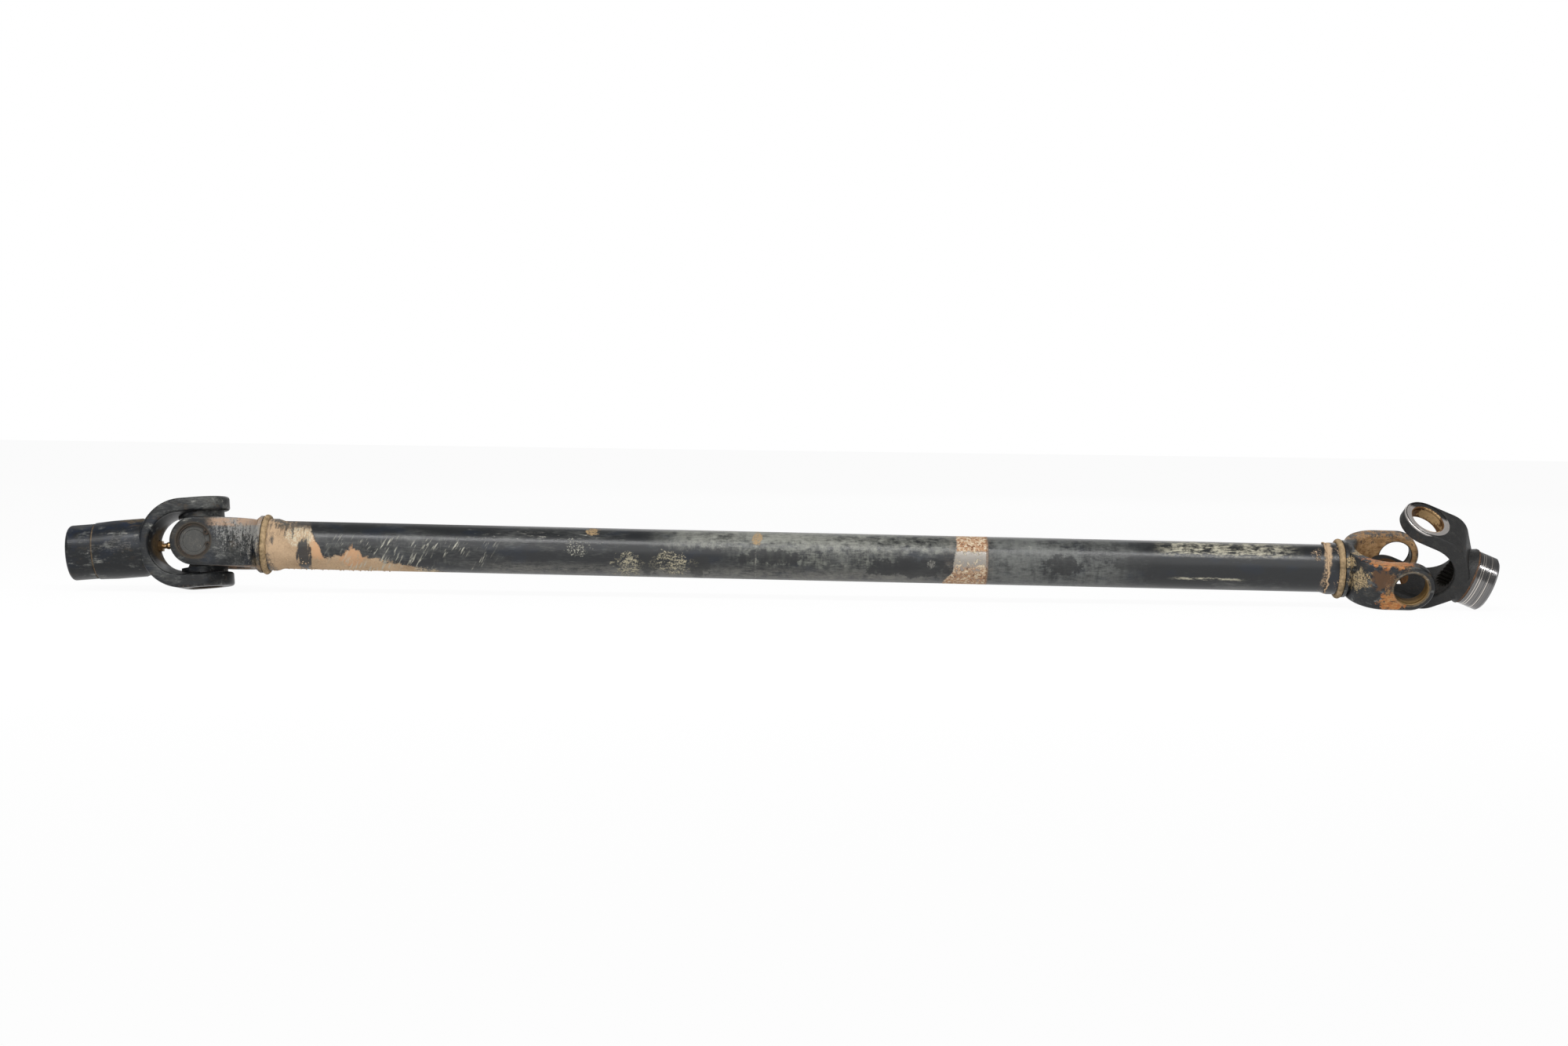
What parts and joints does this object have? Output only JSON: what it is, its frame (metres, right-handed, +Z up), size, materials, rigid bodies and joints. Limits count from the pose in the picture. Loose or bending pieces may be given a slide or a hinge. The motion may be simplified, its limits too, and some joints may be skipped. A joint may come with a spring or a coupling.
{
  "type": "front drive shaft",
  "caption": "Tubular propeller shaft with a working universal joint and splined slip yoke at one end, and an open tube yoke with a loose splined end yoke at the other.",
  "frame": {"origin": "under the middle of the whole part, on the plane it lies on", "axes": "+X along the shaft towards the loose end yoke, +Z up, -Y towards the viewer of the front bearing cap"},
  "size_m": [1.1341, 0.0878, 0.0854],
  "materials": {
    "painted_tube": "satin black paint, scuffed and muddy",
    "painted_yoke": "black paint, muddy and rusting",
    "weld": "painted weld under dried mud",
    "cross_steel": "ground steel with old grease",
    "painted_slip_yoke": "worn black paint",
    "nipple_steel": "dirty plated steel",
    "end_yoke_steel": "black forging with a polished collar",
    "cap_steel": "dark dirty steel",
    "needle_steel": "ground",
    "washer": "greasy",
    "seal_rubber": "matte",
    "circlip_steel": "black spring steel"
  },
  "bodies": {
    "shaft": {"bearing_cap_front": "cap_steel", "bearing_cap_rear": "cap_steel", "cap_seal_front": "seal_rubber", "cap_seal_rear": "seal_rubber", "circlip_front": "circlip_steel", "circlip_rear": "circlip_steel", "drive_tube": "painted_tube", "end_yoke": "end_yoke_steel", "left_tube_yoke": "painted_yoke", "left_weld_bead": "weld", "needles_front": "needle_steel", "needles_rear": "needle_steel", "right_tube_yoke": "painted_yoke", "right_weld_bead": "weld", "thrust_washer_front": "washer", "thrust_washer_rear": "washer"},
    "cross": {"joint_cross": "cross_steel"},
    "slip_yoke": {"slip_yoke": "painted_slip_yoke", "grease_nipple": "nipple_steel", "bearing_cap_upper": "cap_steel", "bearing_cap_lower": "cap_steel", "needles_upper": "needle_steel", "needles_lower": "needle_steel", "thrust_washer_upper": "washer", "thrust_washer_lower": "washer", "cap_seal_upper": "seal_rubber", "cap_seal_lower": "seal_rubber", "circlip_upper": "circlip_steel", "circlip_lower": "circlip_steel"}
  },
  "joints": [
    {"name": "shaft_to_cross", "type": "hinge", "parent": "shaft", "child": "cross", "pos_m": [-0.46074, 0.00447, 0.0387], "axis": [0.001, -0.9936, 0.1132], "range_deg": [-25, 19]},
    {"name": "cross_to_slip_yoke", "type": "hinge", "parent": "cross", "child": "slip_yoke", "pos_m": [-0.46074, 0.00447, 0.0387], "axis": [-0.0924, 0.1126, 0.9893], "range_deg": [-25, 25]}
  ]
}
